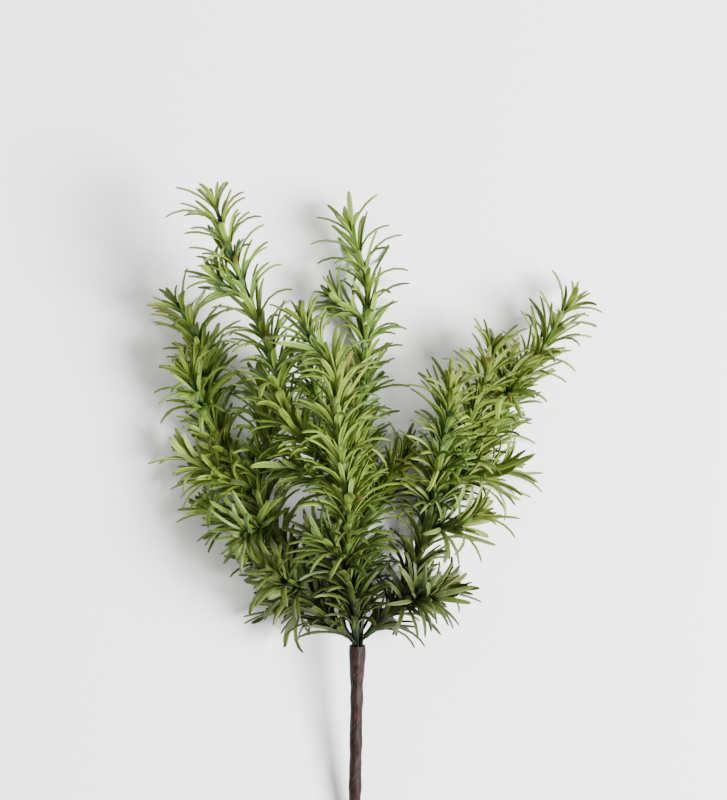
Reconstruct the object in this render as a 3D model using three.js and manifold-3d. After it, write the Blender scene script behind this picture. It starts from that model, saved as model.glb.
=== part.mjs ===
// An artificial rosemary spray, lying on a flat surface.
// Five green branches with whorls of narrow needles fan out of a stem that is wrapped in brown paper tape.
// Millimetres, +Z up. The spray is laid out round the middle of its collar: +Y runs along the branches,
// the cut end of the stem points to -Y, and the surface it lies on is z = 0.
import Module from "manifold-3d";
import * as THREE from "three";

const wasm = await Module();
wasm.setup();

// The wrapped stem
const COLLAR_HEIGHT = 24;
const COLLAR_RADIUS = 4.1;
const COLLAR_TAPER = 22;
const WRAP_RADIUS = 3.1;
const WRAP_SIDES = 12;
const WRAP_STEP = 11;
const WRAP_LUMP = 0.25;
const LUMP_WAVES = [0.41, 0.13];
const STEM_LINE = [
  [0, 0, COLLAR_HEIGHT],
  [-0.5, -30, 19.2],
  [-1, -60, 13.2],
  [-1.6, -90, 7.2],
  [-1.8, -108, 3.6],
  [-1.8, -122, 2.75],
];

// The wire inside it, which shows at the cut end
const WIRE_RADIUS = 1.2;
const WIRE_SIDES = 8;
const WIRE_TOP = 18;
const WIRE_PROUD = 0.8;

// The tails of the branches, in plain holes in the collar
const TAIL_RADIUS = 0.75;
const TAIL_DEPTH = 12;
const TAIL_RING = 2.25;
const TAIL_STRAIGHT = 2.5;
const HOLE_SIDES = 8;
const FIT_GAP = 0.3;

// The branches: five-sided cores that carry a whorl of five needles at every joint
const BRANCH_RADIUS = 1.7;
const SHOOT_RADIUS = 1.4;
const TIP_RADIUS = 1;
const BRANCH_SIDES = 5;
const BARE_STEP = 8;
const THICKENING = 12;
const TIP_TAPER = 40;
const WHORL_PITCH = 9.5;
const WHORL_BAND = 2.2;
const NUB_REACH = 1.6;
const SLIVER = 0.02;

// The needles. The spreads say how far a needle's share of its length, its angles and its whorl's place vary.
const NEEDLE_LENGTH = 25;
const YOUNG_NEEDLE_LENGTH = 21;
const NEEDLE_WIDTH = 2.6;
const NEEDLE_THICKNESS = 0.95;
const NEEDLE_PIECES = 8;
const START_ANGLE = 24;
const OPEN_ANGLE = 90;
const YOUNG_ANGLE = 66;
const YOUNG_REACH = 26;
const LENGTH_SPREAD = 0.4;
const PITCH_SPREAD = 0.3;
const OPEN_SPREAD = 50;
const YOUNG_SPREAD = 30;
const SWAY_SPREAD = 50;
const LYING_HEIGHT = 1.6;
const LYING_FROM = 5;

// The rings of a needle: how many pieces along it, and the shares of its full width and thickness there
const BLADE_RINGS = [
  [2, 0.9, 1],
  [5, 1, 0.9],
];

// The room that needles keep from others, and the turns round the stem that are tried to find it
const CLEAR_GAP = 0.4;
const OWN_GAP = 0.1;
const NUDGES = [0, 18, -18, 36, -36];
const GUARD_STEP = 5;
const GUARD_PIECES = 2;
const PARALLEL = 1e-9;

// The middle of the spray's box as laid out, which becomes the origin
const MIDDLE = [8.56, 54.77];

const wrapColour = 0x5b463f;
const wireColour = 0x8b8d8c;

// Each branch: the way its tail faces in the collar, in degrees round it from +X, then its main stem and the
// shoots on it. A shoot leaves its main stem at so many millimetres along it. bare is the length without
// needles.
const BRANCHES = [
  {
    name: "branch_left",
    colour: 0x6c7f3d,
    tail: 162,
    bare: 20,
    line: [
      [-12.8, 12.3, 25],
      [-22.3, 23.8, 22],
      [-29.8, 36.8, 19],
      [-46.3, 67.8, 14],
      [-55.8, 85.3, 12],
      [-66.8, 98.8, 11.5],
      [-75.3, 120.3, 12],
      [-77.3, 140.3, 14],
      [-83.8, 160.3, 17],
      [-91, 172, 19],
    ],
    shoots: [
      { at: 148, bare: 9, line: [[-78, 122, 21], [-82, 131, 26], [-86, 141, 29]] },
      {
        at: 106,
        bare: 9,
        line: [[-60, 81, 18], [-71, 86, 20], [-79, 90, 19], [-86, 95, 18]],
      },
      {
        at: 99,
        bare: 11,
        line: [[-49, 86, 20], [-46, 100, 24], [-46, 117, 26], [-50, 133, 27]],
      },
      { at: 86, bare: 9, line: [[-52, 62, 15], [-65, 63, 14], [-74, 68, 14]] },
      { at: 84, bare: 7, line: [[-46, 60, 24], [-51, 58, 34], [-56, 56, 42]] },
      { at: 62, bare: 8, line: [[-39, 38, 22], [-47, 41, 25], [-53, 46, 27]] },
      { at: 50, bare: 8, line: [[-31, 29, 30], [-36, 33, 38], [-41, 38, 44]] },
      { at: 44, bare: 7, line: [[-26, 20, 19], [-32, 18, 16], [-38, 19, 14]] },
    ],
  },
  {
    name: "branch_left_tall",
    colour: 0x75893f,
    tail: 234,
    bare: 32,
    line: [
      [-3.2, 22.8, 28],
      [-3.8, 42.8, 33],
      [-3.2, 62.8, 37],
      [-5, 82, 41],
      [-19.8, 98.3, 44],
      [-31, 109, 46],
      [-37.8, 122, 48],
      [-41.3, 141.3, 50],
      [-48.8, 161.3, 52],
      [-56.3, 179.3, 54],
      [-62.8, 196.8, 56],
      [-72, 225, 59],
    ],
    shoots: [{ at: 84, bare: 8, line: [[-9, 76, 40], [-17, 83, 41], [-27, 88, 40], [-35, 90, 38]] }],
  },
  {
    name: "branch_centre",
    colour: 0x6a7d3b,
    tail: 306,
    bare: 28,
    line: [
      [0.5, 22.8, 16],
      [0.5, 52, 12],
      [-0.5, 82, 11],
      [-1.3, 112.8, 11],
      [2.3, 131.8, 12],
      [4.3, 161.3, 13],
      [4.8, 182.8, 15],
      [0.3, 197.3, 18],
      [-4.8, 212, 21],
    ],
    shoots: [
      { at: 66, bare: 8, line: [[7.3, 70, 15], [13.8, 80.3, 18], [20.3, 89.8, 20], [26, 100, 20]] },
      { at: 108, bare: 9, line: [[-7, 103, 18], [-14, 114, 24], [-20, 126, 28], [-23, 138, 31]] },
    ],
  },
  {
    name: "branch_front",
    colour: 0x7b8f45,
    tail: 90,
    bare: 25,
    line: [
      [-1, 8, 30],
      [-1.8, 25.8, 40],
      [-6.8, 40.3, 49],
      [-4.8, 51.8, 54],
      [-5.3, 72.3, 60],
      [-8.3, 98.3, 65],
      [-10.3, 115.3, 67],
      [-9, 127, 68],
      [-12, 140, 69],
      [-22, 151, 70],
      [-26.5, 163, 71],
    ],
    shoots: [{ at: 63, bare: 7, line: [[-12, 49, 56], [-17, 53, 58], [-21.5, 58, 59]] }],
  },
  {
    name: "branch_right",
    colour: 0x708440,
    tail: 18,
    bare: 23,
    line: [
      [10, 10.5, 24],
      [23.8, 26.3, 20],
      [31.8, 46.8, 17],
      [36.3, 62.8, 14],
      [48.8, 82.8, 12],
      [67.3, 110.3, 11.5],
      [81.8, 131.8, 13],
      [93.8, 149.3, 18],
      [102.3, 165.8, 20],
      [107, 172, 21],
    ],
    shoots: [
      {
        at: 86,
        bare: 8,
        line: [[38, 74, 22], [40.5, 92, 31], [44.8, 113, 38], [46.3, 125, 42], [46, 132, 44]],
      },
      { at: 109, bare: 8, line: [[53, 100, 20], [58, 117, 25], [63.8, 131.8, 28], [67.5, 149, 31]] },
      { at: 104, bare: 8, line: [[55, 83, 13], [67, 85, 13], [77, 90, 14]] },
      { at: 82, bare: 8, line: [[42, 59, 22], [50, 60, 28], [60, 66, 31]] },
      { at: 50, bare: 7, line: [[32, 27, 17], [38, 26, 15], [44, 28, 14]] },
      { at: 41, bare: 6, line: [[25, 22.5, 30], [31, 24, 39], [38, 25.5, 46]] },
    ],
  },
];

const UP = new THREE.Vector3(0, 0, 1);
const point = (values) => new THREE.Vector3(...values);
const radians = THREE.MathUtils.degToRad;
const { clamp, lerp, smoothstep } = THREE.MathUtils;

// A number from 0 to 1 that is always the same for the same keys.
function draw(a, b, c, d) {
  const swing = Math.sin(a * 12.9898 + b * 78.233 + c * 37.719 + d * 9.1513) * 43758.5453;
  return swing - Math.floor(swing);
}

function smoothLine(points) {
  const curve = new THREE.CatmullRomCurve3(points, false, "centripetal");
  curve.arcLengthDivisions = 400;
  return curve;
}

// The place and the three directions of a curve, so many millimetres along it. It runs on straight past
// its ends.
function frameAt(curve, distance) {
  const inside = clamp(distance, 0, curve.getLength());
  const share = inside / curve.getLength();
  const along = curve.getTangentAt(share);
  const side = along.clone().cross(UP).normalize();
  const rise = side.clone().cross(along).normalize();
  return { centre: curve.getPointAt(share).addScaledVector(along, distance - inside), along, side, rise };
}

// The direction away from a frame's middle at an angle that starts from straight down.
function outward({ side, rise }, angle) {
  return side.clone().multiplyScalar(Math.sin(angle)).addScaledVector(rise, -Math.cos(angle));
}

// Corners round a frame's middle. Unless it is turned by some sides, there is a flat between the two lowest.
function ringAt(frame, radius, sides, turned = 0) {
  return Array.from({ length: sides }, (_, i) => {
    const angle = ((i + 0.5 + turned) / sides) * 2 * Math.PI;
    return frame.centre.clone().addScaledVector(outward(frame, angle), radius);
  });
}

function solid(corners, faces) {
  let volume = 0;
  for (const [a, b, c] of faces) volume += corners[a].dot(corners[b].clone().cross(corners[c]));
  const outward = volume > 0 ? faces : faces.map(([a, b, c]) => [a, c, b]);
  return new wasm.Manifold(
    new wasm.Mesh({
      numProp: 3,
      vertProperties: new Float32Array(corners.flatMap((corner) => corner.toArray())),
      triVerts: new Uint32Array(outward.flat()),
    }),
  );
}

// The faces between two rings of corners, given by where each ring starts. skip names sides whose first face,
// the one on the low ring, is left out.
function bandFaces(low, high, sides, skip = []) {
  const faces = [];
  for (let i = 0; i < sides; i += 1) {
    const j = (i + 1) % sides;
    if (!skip.includes(i)) faces.push([low + i, low + j, high + i]);
    faces.push([low + j, high + j, high + i]);
  }
  return faces;
}

function capFaces(start, sides) {
  return Array.from({ length: sides - 2 }, (_, i) => [start, start + i + 1, start + i + 2]);
}

// A closed solid through rings of corners.
function loft(rings) {
  const sides = rings[0].length;
  const faces = capFaces(0, sides).map((face) => face.reverse());
  for (let r = 1; r < rings.length; r += 1) faces.push(...bandFaces((r - 1) * sides, r * sides, sides));
  return solid(rings.flat(), [...faces, ...capFaces((rings.length - 1) * sides, sides)]);
}

function tubeAlong(curve, distances, radiusAt, sides) {
  return loft(distances.map((distance) => ringAt(frameAt(curve, distance), radiusAt(distance), sides)));
}

function stations(from, to, step) {
  const count = Math.max(1, Math.round((to - from) / step));
  return Array.from({ length: count + 1 }, (_, i) => lerp(from, to, i / count));
}

// The radius to the corners of a ring whose flats are so far from its middle.
const cornerRadius = (flat, sides) => flat / Math.cos(Math.PI / sides);

function meshOf(name, shape, colour, roughness, metalness) {
  const { vertProperties, triVerts, numProp } = shape.getMesh();
  const geometry = new THREE.BufferGeometry();
  geometry.setAttribute("position", new THREE.BufferAttribute(vertProperties, numProp));
  geometry.setIndex(new THREE.BufferAttribute(triVerts, 1));
  const material = new THREE.MeshStandardMaterial({ color: colour, roughness, metalness });
  const mesh = new THREE.Mesh(geometry, material);
  mesh.name = name;
  return mesh;
}

// The stem: the wrap with its holes and bore, and the wire in the bore
const stemCurve = smoothLine(STEM_LINE.map(point));
const stemLength = stemCurve.getLength();
const collar = frameAt(stemCurve, 0);

function tailPoints(angle) {
  const mouth = collar.centre.clone().addScaledVector(collar.side, -TAIL_RING * Math.cos(radians(angle)));
  mouth.addScaledVector(collar.rise, TAIL_RING * Math.sin(radians(angle)));
  const down = (depth) => mouth.clone().addScaledVector(collar.along, depth);
  const [deepest, bottom, above] = [TAIL_DEPTH + FIT_GAP, TAIL_DEPTH, -TAIL_STRAIGHT].map(down);
  return { deepest, bottom, mouth, above };
}

function makeWrap() {
  const widthAt = (s) => lerp(COLLAR_RADIUS, WRAP_RADIUS, smoothstep(s, 0, COLLAR_TAPER));
  const lumpAt = (s) => WRAP_LUMP * Math.sin(s * LUMP_WAVES[0]) * Math.sin(s * LUMP_WAVES[1] + 1);
  const rings = stations(0, stemLength, WRAP_STEP).map((s) =>
    ringAt(frameAt(stemCurve, s), widthAt(s) + lumpAt(s), WRAP_SIDES),
  );
  for (const corner of rings.flat()) corner.z = Math.max(corner.z, 0);
  const boreRadius = cornerRadius(WIRE_RADIUS + FIT_GAP, WIRE_SIDES);
  const boreStations = stations(WIRE_TOP, stemLength + WIRE_PROUD, WRAP_STEP);
  const bore = tubeAlong(stemCurve, boreStations, () => boreRadius, WIRE_SIDES);
  const holeRadius = cornerRadius(TAIL_RADIUS + FIT_GAP, HOLE_SIDES);
  const holes = BRANCHES.map(({ tail }) => {
    const { deepest, above } = tailPoints(tail);
    const line = new THREE.LineCurve3(above, deepest);
    return tubeAlong(line, [0, line.getLength()], () => holeRadius, HOLE_SIDES);
  });
  return holes.reduce((left, hole) => left.subtract(hole), loft(rings).subtract(bore));
}

function makeWire() {
  const distances = stations(WIRE_TOP + FIT_GAP, stemLength + WIRE_PROUD, WRAP_STEP);
  return tubeAlong(stemCurve, distances, () => WIRE_RADIUS, WIRE_SIDES);
}

// The branches' own stems
function stemsOf({ tail, bare, line, shoots }) {
  const { bottom, mouth, above } = tailPoints(tail);
  const main = smoothLine([bottom, mouth, above, ...line.map(point)]);
  const root = TAIL_DEPTH + TAIL_STRAIGHT;
  const length = main.getLength();
  const mainRadius = (s) =>
    lerp(TAIL_RADIUS, BRANCH_RADIUS, smoothstep(s, root, root + THICKENING)) -
    (BRANCH_RADIUS - TIP_RADIUS) * smoothstep(s, length - TIP_TAPER, length);
  const stems = [{ curve: main, start: root, bare, radiusAt: mainRadius, tail: [0, TAIL_DEPTH] }];
  for (const shoot of shoots) {
    const curve = smoothLine([frameAt(main, shoot.at).centre, ...shoot.line.map(point)]);
    const radiusAt = (s) => lerp(SHOOT_RADIUS, TIP_RADIUS, smoothstep(s, 0, curve.getLength()));
    stems.push({ curve, start: 0, bare: shoot.bare, radiusAt, tail: [] });
  }
  return stems;
}

// A needle's middle line. It leaves its stem at a small angle, curves outwards, and lies along the surface
// where it would go below it.
function needleLine(frame, radius, angle, length, open, sway) {
  const { centre, along } = frame;
  const out = outward(frame, angle);
  const across = out.clone().cross(along);
  const forward = along.clone().add(out).setZ(0).normalize();
  const spots = [centre.clone().addScaledVector(out, radius).addScaledVector(along, -WHORL_BAND / 4)];
  for (let i = 0; i < NEEDLE_PIECES; i += 1) {
    const share = (i + 0.5) / NEEDLE_PIECES;
    const lean = radians(lerp(START_ANGLE, open, share));
    const heading = along.clone().multiplyScalar(Math.cos(lean)).addScaledVector(out, Math.sin(lean));
    heading.addScaledVector(across, Math.sin(radians(sway)) * share).normalize();
    const next = spots[i].clone().addScaledVector(heading, length / NEEDLE_PIECES);
    if (next.z < LYING_HEIGHT) next.copy(spots[i]).addScaledVector(forward, length / NEEDLE_PIECES).setZ(0);
    spots.push(next);
  }
  if (spots.at(-1).z === 0) {
    spots.forEach((spot, i) => {
      spot.z = Math.min(spot.z, spots[0].z * Math.max(0, 1 - i / LYING_FROM));
    });
  }
  return { spots, across };
}

// The rings of a three-sided needle, whose ridge faces its stem and whose flat back faces away from it. None
// reaches below the surface.
function bladeRings({ spots, across }) {
  return BLADE_RINGS.map(([i, width, thickness]) => {
    const heading = spots[i + 1].clone().sub(spots[i]).normalize();
    const wide = across.clone().addScaledVector(heading, -across.dot(heading)).normalize();
    const ridge = wide.clone().cross(heading);
    const ring = [
      spots[i].clone().addScaledVector(wide, (-width * NEEDLE_WIDTH) / 2),
      spots[i].clone().addScaledVector(wide, (width * NEEDLE_WIDTH) / 2),
      spots[i].clone().addScaledVector(ridge, thickness * NEEDLE_THICKNESS),
    ];
    const lift = Math.max(0, ...ring.map((corner) => -corner.z));
    for (const corner of ring) corner.z += lift;
    return ring;
  });
}

// How far the straight piece from a to b is from the one from c to d.
function gapBetween(a, b, c, d) {
  const first = b.clone().sub(a);
  const second = d.clone().sub(c);
  const apart = a.clone().sub(c);
  const firstSquare = first.lengthSq();
  const secondSquare = second.lengthSq();
  const both = first.dot(second);
  const spread = firstSquare * secondSquare - both * both;
  const nearest = (both * second.dot(apart) - secondSquare * first.dot(apart)) / spread;
  let s = spread > PARALLEL ? clamp(nearest, 0, 1) : 0;
  const t = clamp((both * s + second.dot(apart)) / secondSquare, 0, 1);
  s = clamp((both * t - first.dot(apart)) / firstSquare, 0, 1);
  return apart.addScaledVector(first, s).addScaledVector(second, -t).length();
}

// A line as short pieces, each with the room that it takes up and what it belongs to.
function piecesOf(spots, every, owner, reach) {
  const pieces = [];
  for (let i = 0; i + every < spots.length; i += every) {
    const [from, to] = [spots[i], spots[i + every]];
    const middle = from.clone().lerp(to, 0.5);
    const half = from.distanceTo(to) / 2;
    pieces.push({ ...owner, from, to, middle, half, reach, rooted: owner.needle && i === 0 });
  }
  return pieces;
}

// True if a needle's pieces stay clear of all that is there. The first piece of a needle is let off on its
// own branch, and the rest of it on its own stem.
function isClear(pieces) {
  return pieces.every((piece) =>
    taken.every((other) => {
      const own = other.branch === piece.branch;
      if (own && (piece.rooted || other.rooted || (!other.needle && other.stem === piece.stem))) return true;
      const room = piece.reach + other.reach + (own ? OWN_GAP : CLEAR_GAP);
      if (piece.middle.distanceTo(other.middle) > room + piece.half + other.half) return true;
      return gapBetween(piece.from, piece.to, other.from, other.to) > room;
    }),
  );
}

const allStems = BRANCHES.map(stemsOf);
const spotsAlong = (curve) => stations(0, curve.getLength(), GUARD_STEP).map((s) => frameAt(curve, s).centre);
const taken = piecesOf(spotsAlong(stemCurve), 1, { branch: -1, stem: 0, needle: false }, COLLAR_RADIUS);
allStems.forEach((stems, branch) => {
  stems.forEach(({ curve }, stem) => {
    taken.push(...piecesOf(spotsAlong(curve), 1, { branch, stem, needle: false }, BRANCH_RADIUS));
  });
});

// The needles of one whorl, as rings on the sides that they grow from. One that would cross another is
// turned, and left out if there is no room for it.
function growWhorl(frame, radius, branch, stem, whorl, youth) {
  const needles = new Map();
  for (let side = 0; side < BRANCH_SIDES; side += 1) {
    const vary = (key) => draw(branch, stem, whorl, 10 * side + key) - 0.5;
    const facing = ((side + 1 + whorl / 2) / BRANCH_SIDES) * 2 * Math.PI;
    const size = lerp(NEEDLE_LENGTH, YOUNG_NEEDLE_LENGTH, youth) * (1 + LENGTH_SPREAD * vary(3));
    const open = lerp(OPEN_ANGLE, YOUNG_ANGLE, youth) + lerp(OPEN_SPREAD, YOUNG_SPREAD, youth) * vary(4);
    for (const nudge of NUDGES) {
      const line = needleLine(frame, radius, facing + radians(nudge), size, open, SWAY_SPREAD * vary(5));
      const pieces = piecesOf(line.spots, GUARD_PIECES, { branch, stem, needle: true }, NEEDLE_WIDTH / 2);
      if (!isClear(pieces)) continue;
      taken.push(...pieces);
      needles.set(side, { rings: bladeRings(line), tip: line.spots.at(-1) });
      break;
    }
  }
  return needles;
}

// One stem as a single surface. At each whorl two rings, turned half a side from each other, leave a triangle
// on every side of the stem, and each needle grows out of one of these.
function leafyStem({ curve, start, bare, radiusAt, tail }, branch, stem) {
  const length = curve.getLength();
  const corners = [];
  const faces = [];
  let turned = 0;
  let low = -1;
  const addRing = (s, skip) => {
    const high = corners.length;
    corners.push(...ringAt(frameAt(curve, s), radiusAt(s), BRANCH_SIDES, turned));
    if (low < 0) faces.push(...capFaces(high, BRANCH_SIDES).map((face) => face.reverse()));
    else faces.push(...bandFaces(low, high, BRANCH_SIDES, skip));
    low = high;
  };
  for (const s of [...tail, ...stations(start, bare - BARE_STEP / 2, BARE_STEP)]) addRing(s);
  let whorl = 0;
  const pitch = () => WHORL_PITCH * (1 + PITCH_SPREAD * (draw(branch, stem, whorl, 1) - 0.5));
  for (let s = bare; s < length - NUB_REACH; s += pitch()) {
    const youth = 1 - smoothstep(length - s, 0, YOUNG_REACH);
    const needles = growWhorl(frameAt(curve, s), radiusAt(s), branch, stem, whorl, youth);
    addRing(s - WHORL_BAND / 2);
    const below = low;
    turned += 0.5;
    addRing(s + WHORL_BAND / 2, [...needles.keys()]);
    for (const [side, { rings, tip }] of needles) {
      let base = [below + side, below + ((side + 1) % BRANCH_SIDES), low + side];
      for (const ring of rings) {
        const next = ring.map((corner) => corners.push(corner) - 1);
        base.forEach((from, i) => {
          const j = (i + 1) % 3;
          faces.push([from, base[j], next[i]], [base[j], next[j], next[i]]);
        });
        base = next;
      }
      const end = corners.push(tip) - 1;
      base.forEach((from, i) => faces.push([from, base[(i + 1) % 3], end]));
    }
    whorl += 1;
  }
  addRing(length);
  faces.push(...capFaces(low, BRANCH_SIDES));
  return solid(corners, faces);
}

// A branch's stems joined to one body, without the specks that joining can leave.
function makeBranch(branch) {
  const joined = wasm.Manifold.union(allStems[branch].map((stem, number) => leafyStem(stem, branch, number)));
  const bodies = joined.simplify(SLIVER).decompose();
  return bodies.reduce((largest, body) => (body.volume() > largest.volume() ? body : largest));
}

const spray = new THREE.Group();
spray.add(meshOf("stem_wrap", makeWrap(), wrapColour, 0.85, 0));
spray.add(meshOf("core_wire", makeWire(), wireColour, 0.4, 1));
BRANCHES.forEach(({ name, colour }, branch) => {
  spray.add(meshOf(name, makeBranch(branch), colour, 0.5, 0));
});
spray.position.set(-MIDDLE[0], -MIDDLE[1], 0);

export default spray;
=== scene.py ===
"""An artificial rosemary spray that lies on a pale surface, seen from straight above.

Five green stems carry threaded whorls of narrow needles, and come out of a stem wrapped in brown paper tape.
The layout is in millimetres round the middle of the collar, as the part is laid out, and goes to metres in
the part's own frame when a mesh is made.
"""

import math

import bpy
import numpy as np
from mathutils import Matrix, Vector


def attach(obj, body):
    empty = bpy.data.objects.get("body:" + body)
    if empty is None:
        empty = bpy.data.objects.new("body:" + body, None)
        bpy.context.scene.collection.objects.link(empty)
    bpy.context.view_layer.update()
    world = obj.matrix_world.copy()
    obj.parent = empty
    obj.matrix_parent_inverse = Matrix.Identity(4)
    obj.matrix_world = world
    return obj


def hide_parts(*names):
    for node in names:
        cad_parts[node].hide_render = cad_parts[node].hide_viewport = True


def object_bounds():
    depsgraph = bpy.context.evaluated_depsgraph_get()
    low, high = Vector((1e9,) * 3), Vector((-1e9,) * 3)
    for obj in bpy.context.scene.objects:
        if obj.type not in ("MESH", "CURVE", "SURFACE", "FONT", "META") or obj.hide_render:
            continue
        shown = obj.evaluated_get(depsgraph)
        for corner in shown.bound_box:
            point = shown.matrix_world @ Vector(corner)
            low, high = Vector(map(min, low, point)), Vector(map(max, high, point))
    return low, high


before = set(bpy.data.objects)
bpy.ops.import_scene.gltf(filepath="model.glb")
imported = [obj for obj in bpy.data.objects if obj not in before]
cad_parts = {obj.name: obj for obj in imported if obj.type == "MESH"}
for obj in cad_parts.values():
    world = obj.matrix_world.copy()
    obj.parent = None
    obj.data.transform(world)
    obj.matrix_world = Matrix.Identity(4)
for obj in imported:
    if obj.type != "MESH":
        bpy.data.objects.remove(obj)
cad_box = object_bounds()

# The layout
MM = 0.001
MIDDLE = np.array([8.56, 54.77, 0.0])
UP = np.array([0.0, 0.0, 1.0])
BODY = "root"

# The wrapped stem. Its waves are in radians to a millimetre, and the creases also go round it so many times.
# A fold closes an end with rows of tape, each so far along from there and at a share of the radius.
COLLAR_RADIUS = 4.15
COLLAR_STRAIGHT = 8
COLLAR_TAPER = 23
WRAP_RADIUS = 3.25
WRAP_SIDES = 48
WRAP_STEP = 0.3
TAPE_PITCH = 27
TAPE_STEP = 0.16
LUMP = 0.2
LUMP_WAVES = (0.41, 0.13)
CREASE = 0.05
CREASE_SIDES = (9, 5)
CREASE_WAVES = (0.22, 0.31)
CREASE_WANDER = 0.17
COLLAR_FOLD = [(2.5, 0.62), (0.5, 0.72), (0, 0.85)]
CUT_FOLD = [(0, 0.8), (-0.4, 0.42), (-2, 0.4)]
STEM_LINE = [
    (0, 0, 24), (-0.5, -30, 19.2), (-1, -60, 13.2), (-1.6, -90, 7.2), (-1.8, -108, 3.6), (-1.8, -122, 2.75),
]
WIRE_RADIUS = 1.2
WIRE_TOP = 18
WIRE_PROUD = 0.75
WIRE_STEP = 4
WIRE_DETAIL = 3
WIRE_EDGE_LENGTH = 0.05
WIRE_EDGE_SHARE = 0.85

# The branches' own stems
TAIL_RADIUS = 0.75
TAIL_DEPTH = 12
TAIL_RING = 2.25
TAIL_STRAIGHT = 2.5
BRANCH_RADIUS = 1.7
SHOOT_RADIUS = 1.4
TIP_RADIUS = 1.0
CORE_SHARE = 0.86
THICKENING = 6
TIP_TAPER = 40
STEM_STEP = 3
STEM_DETAIL = 2

# The whorls: a flared cup each, with needles round its mouth
WHORL_SIDES = 5
WHORL_PITCH = 9.5
PITCH_SPREAD = 0.3
WHORL_BAND = 2.2
NUB_REACH = 1.6
NUB_LENGTH = 2.4
NUB_RINGS = [(-1, 1), (NUB_LENGTH - 0.8, 1), (NUB_LENGTH - 0.5, 0.75)]
CUP_LENGTH = 7.5
YOUNG_CUP = 0.7
CUP_SEAT = 0.8
CUP_SIDES = 10
CUP_PROFILE = [(0, 1.0), (0.35, 1.08), (0.7, 1.4), (1, 1.62), (0.95, 1.25), (0.7, 0.8)]

# The needles. The spreads say how far a needle's share of its length and its angles vary. Its heading at a
# spot is read so much of its length either way. Its section is given as points across and up, and a ring as
# its place along the needle and its shares of the width and the thickness.
NEEDLE_LENGTH = 25
YOUNG_NEEDLE_LENGTH = 21
NEEDLE_WIDTH = 2.6
LEAST_WIDTH = 0.78
WIDTH_SPREAD = 0.5
WIDTH_SKEW = 1.5
NEEDLE_THICKNESS = 1.15
NEEDLE_PIECES = 8
ROOT_LENGTH = 3
ROOT_ANGLE = 12
START_ANGLE = 24
OPEN_ANGLE = 90
YOUNG_ANGLE = 66
YOUNG_REACH = 26
LENGTH_SPREAD = 0.4
OPEN_SPREAD = 50
YOUNG_SPREAD = 30
SWAY_SPREAD = 50
ROLL_SPREAD = 70
HEADING_LOOK = 0.06
LYING_HEIGHT = 1.6
LYING_FROM = 5
NEEDLE_SECTION = [(-1, 0.25), (-0.5, 0), (0, 0.2), (0.5, 0), (1, 0.25), (0, 1)]
NEEDLE_RINGS = [
    (0, 0.4, 1), (0.15, 0.5, 1), (0.3, 0.78, 1), (0.5, 1, 1), (0.7, 1, 1), (0.86, 0.84, 0.92),
    (0.96, 0.54, 0.7),
]

# Edges bent by up to so many degrees are shaded smooth
WRAP_SMOOTH = 42
STEM_SMOOTH = 50
CUP_SMOOTH = 50
NEEDLE_SMOOTH = 70

# What varies from needle to needle, as keys for the draws, and what keeps the draws of rows and pieces apart
CHANCE, TURN, LENGTH, OPENING, SWAY, WIDTH, ROLL, TONE = range(1, 9)
SIDE_KEYS = 10
ROW_KEYS = 500
TIP_KEYS = 2000
CUP_KEY = 99
PITCH_KEY = 1

# The needles between the five long ones of a whorl: how far in they start, the chance of each low on the
# spray and high on it, their share of the long one's length and how much that varies, and how much wider and
# how unevenly they open
BETWEEN_ROWS = [
    {"inward": 0.92, "low": 0.95, "high": 0.7, "share": 0.9, "spread": 0.4, "wider": -30, "uneven": 80},
    {"inward": 0.6, "low": 0.8, "high": 0.3, "share": 0.65, "spread": 0.4, "wider": -55, "uneven": 40},
    {"inward": 0.8, "low": 0.75, "high": 0.05, "share": 1, "spread": 0.3, "wider": 5, "uneven": 100},
]
LEAST_OPEN = 25

# How much of their whorl's youth the long needles and those between show in their colour
LONG_YOUTH = 0.4
BETWEEN_YOUTH = 0.5

# Whorls stand crowded below the first height on the spray, and airy above the second
CROWDED_BELOW = 110
AIRY_ABOVE = 180

# The short needles at the end of a stem, and the one upright needle of a crown
TIP_NEEDLES = 4
TIP_LENGTH = 10
TIP_SPREAD = 0.6
TIP_START = 8
TIP_OPEN = 40
TIP_SEAT = 1
TIP_RING = 0.6
CROWN_ROOT = 8
CROWN_WIDTH = 0.3

# The room that needles leave inside the part's box, what one that would pass it is cut to at a time, and the
# least height of an extra whorl over the collar
BOX_ROOM = 1.8
SHORTENING = 0.9
LOWEST_WHORL = 6

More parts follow.
